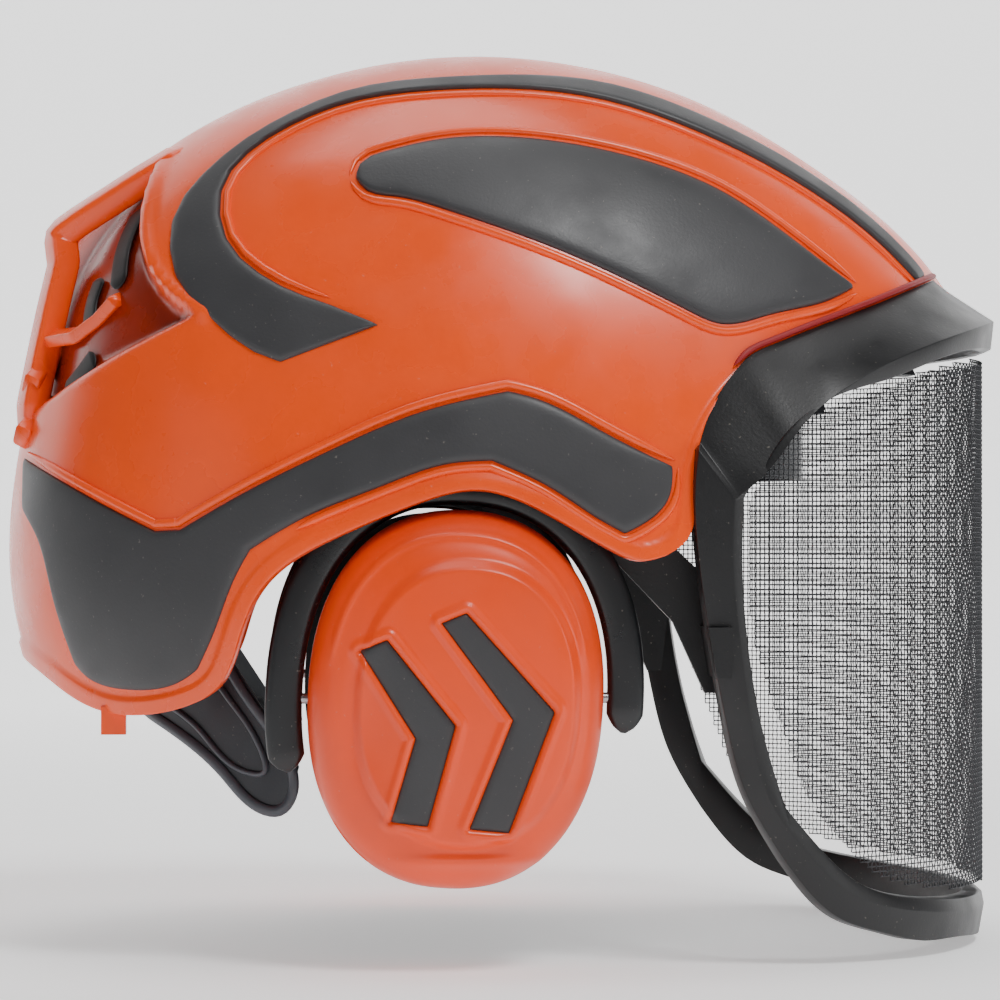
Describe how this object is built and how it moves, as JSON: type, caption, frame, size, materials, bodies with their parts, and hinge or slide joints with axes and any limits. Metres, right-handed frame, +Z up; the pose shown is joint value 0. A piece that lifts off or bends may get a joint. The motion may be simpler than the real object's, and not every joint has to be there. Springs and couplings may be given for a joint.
{
  "type": "hard hat",
  "caption": "Forestry safety helmet with glossy shell and inlays, ventilated rear, head harness, nape adjuster, hinged wire-mesh face visor and swinging ear muffs.",
  "frame": {"origin": "centre of the head opening at headband level", "axes": "+X forwards out of the face, +Y to the wearer's left, +Z up through the crown"},
  "size_m": [0.2978, 0.2418, 0.2634],
  "materials": {
    "shell_orange": "glossy moulded ABS, bright orange",
    "inlay_grey": "matt dark grey inlay, fine grained",
    "shell_black": "matt black moulding",
    "harness_plastic": "satin blue-grey polyamide",
    "webbing": "woven polyester webbing",
    "pad_textile": "knitted textile over foam",
    "visor_plastic": "satin black glass-filled polyamide",
    "seal_red": "crimson soft lip",
    "wire_mesh": "woven wire, silver grey",
    "pin_steel": "turned steel",
    "muff_plastic": "satin black polyamide",
    "cup_orange": "satin moulded ABS, orange",
    "cushion_vinyl": "soft black vinyl skin",
    "cup_foam": "open-cell foam"
  },
  "bodies": {
    "helmet": {"outer_shell": "shell_orange", "inner_shell": "shell_black", "vent_cover": "shell_black", "crown_pad": "pad_textile", "shell_spacers": "shell_black", "headband": "harness_plastic", "sweatband": "pad_textile", "long_strap": "webbing", "cross_strap": "webbing", "headband_clips": "harness_plastic", "side_inlay_right": "inlay_grey", "crown_inlay_right": "inlay_grey", "band_inlay_right": "inlay_grey", "rim_hook_right": "shell_orange", "visor_bearing_right": "visor_plastic", "visor_pin_right": "pin_steel", "muff_bracket_right": "muff_plastic", "muff_hinge_pin_right": "pin_steel", "side_inlay_left": "inlay_grey", "crown_inlay_left": "inlay_grey", "band_inlay_left": "inlay_grey", "rim_hook_left": "shell_orange", "visor_bearing_left": "visor_plastic", "visor_pin_left": "pin_steel", "muff_bracket_left": "muff_plastic", "muff_hinge_pin_left": "pin_steel"},
    "visor": {"visor_frame": "visor_plastic", "visor_mesh": "wire_mesh", "visor_rim": "visor_plastic", "brow_seal": "seal_red", "visor_arm_right": "visor_plastic", "visor_arm_left": "visor_plastic"},
    "nape_cradle": {"nape_frame": "harness_plastic", "nape_pad": "pad_textile"},
    "nape_knob": {"nape_knob": "harness_plastic"},
    "muff_arm_right": {"muff_swing_arm_right": "muff_plastic"},
    "muff_fork_right": {"muff_fork_right": "muff_plastic", "muff_fork_pins_right": "pin_steel"},
    "muff_cup_right": {"cup_shell_right": "cup_orange", "cup_chevrons_right": "inlay_grey", "cup_back_right": "muff_plastic", "cup_cushion_right": "cushion_vinyl", "cup_foam_right": "cup_foam"},
    "muff_arm_left": {"muff_swing_arm_left": "muff_plastic"},
    "muff_fork_left": {"muff_fork_left": "muff_plastic", "muff_fork_pins_left": "pin_steel"},
    "muff_cup_left": {"cup_shell_left": "cup_orange", "cup_chevrons_left": "inlay_grey", "cup_back_left": "muff_plastic", "cup_cushion_left": "cushion_vinyl", "cup_foam_left": "cup_foam"}
  },
  "joints": [
    {"name": "visor_hinge", "type": "hinge", "parent": "helmet", "child": "visor", "pos_m": [0.014, 0, 0.012], "axis": [0, -1, 0], "range_deg": [0, 60]},
    {"name": "nape_slide", "type": "slide", "parent": "helmet", "child": "nape_cradle", "axis": [1, 0, 0], "range_m": [0, 0.008]},
    {"name": "nape_knob_turn", "type": "hinge", "parent": "nape_cradle", "child": "nape_knob", "pos_m": [-0.1161, 0, -0.04], "axis": [-1, 0, 0], "range_deg": [0, 181]},
    {"name": "muff_swing_right", "type": "hinge", "parent": "helmet", "child": "muff_arm_right", "pos_m": [-0.0117, -0.093, 0.032], "axis": [-1, 0, 0], "range_deg": [0, 10.5]},
    {"name": "muff_height_right", "type": "slide", "parent": "muff_arm_right", "child": "muff_fork_right", "axis": [0, 0, -1], "range_m": [0, 0.012]},
    {"name": "cup_tilt_right", "type": "hinge", "parent": "muff_fork_right", "child": "muff_cup_right", "pos_m": [-0.0117, -0.093, -0.056], "axis": [1, 0, 0], "range_deg": [-5, 5]},
    {"name": "muff_swing_left", "type": "hinge", "parent": "helmet", "child": "muff_arm_left", "pos_m": [-0.0117, 0.093, 0.032], "axis": [1, 0, 0], "range_deg": [0, 10.5]},
    {"name": "muff_height_left", "type": "slide", "parent": "muff_arm_left", "child": "muff_fork_left", "axis": [0, 0, -1], "range_m": [0, 0.012]},
    {"name": "cup_tilt_left", "type": "hinge", "parent": "muff_fork_left", "child": "muff_cup_left", "pos_m": [-0.0117, 0.093, -0.056], "axis": [1, 0, 0], "range_deg": [-5, 5]}
  ],
  "couplings": [
    {"joint": "nape_knob_turn", "follows": "nape_slide", "rad_per_m": 392.7}
  ]
}
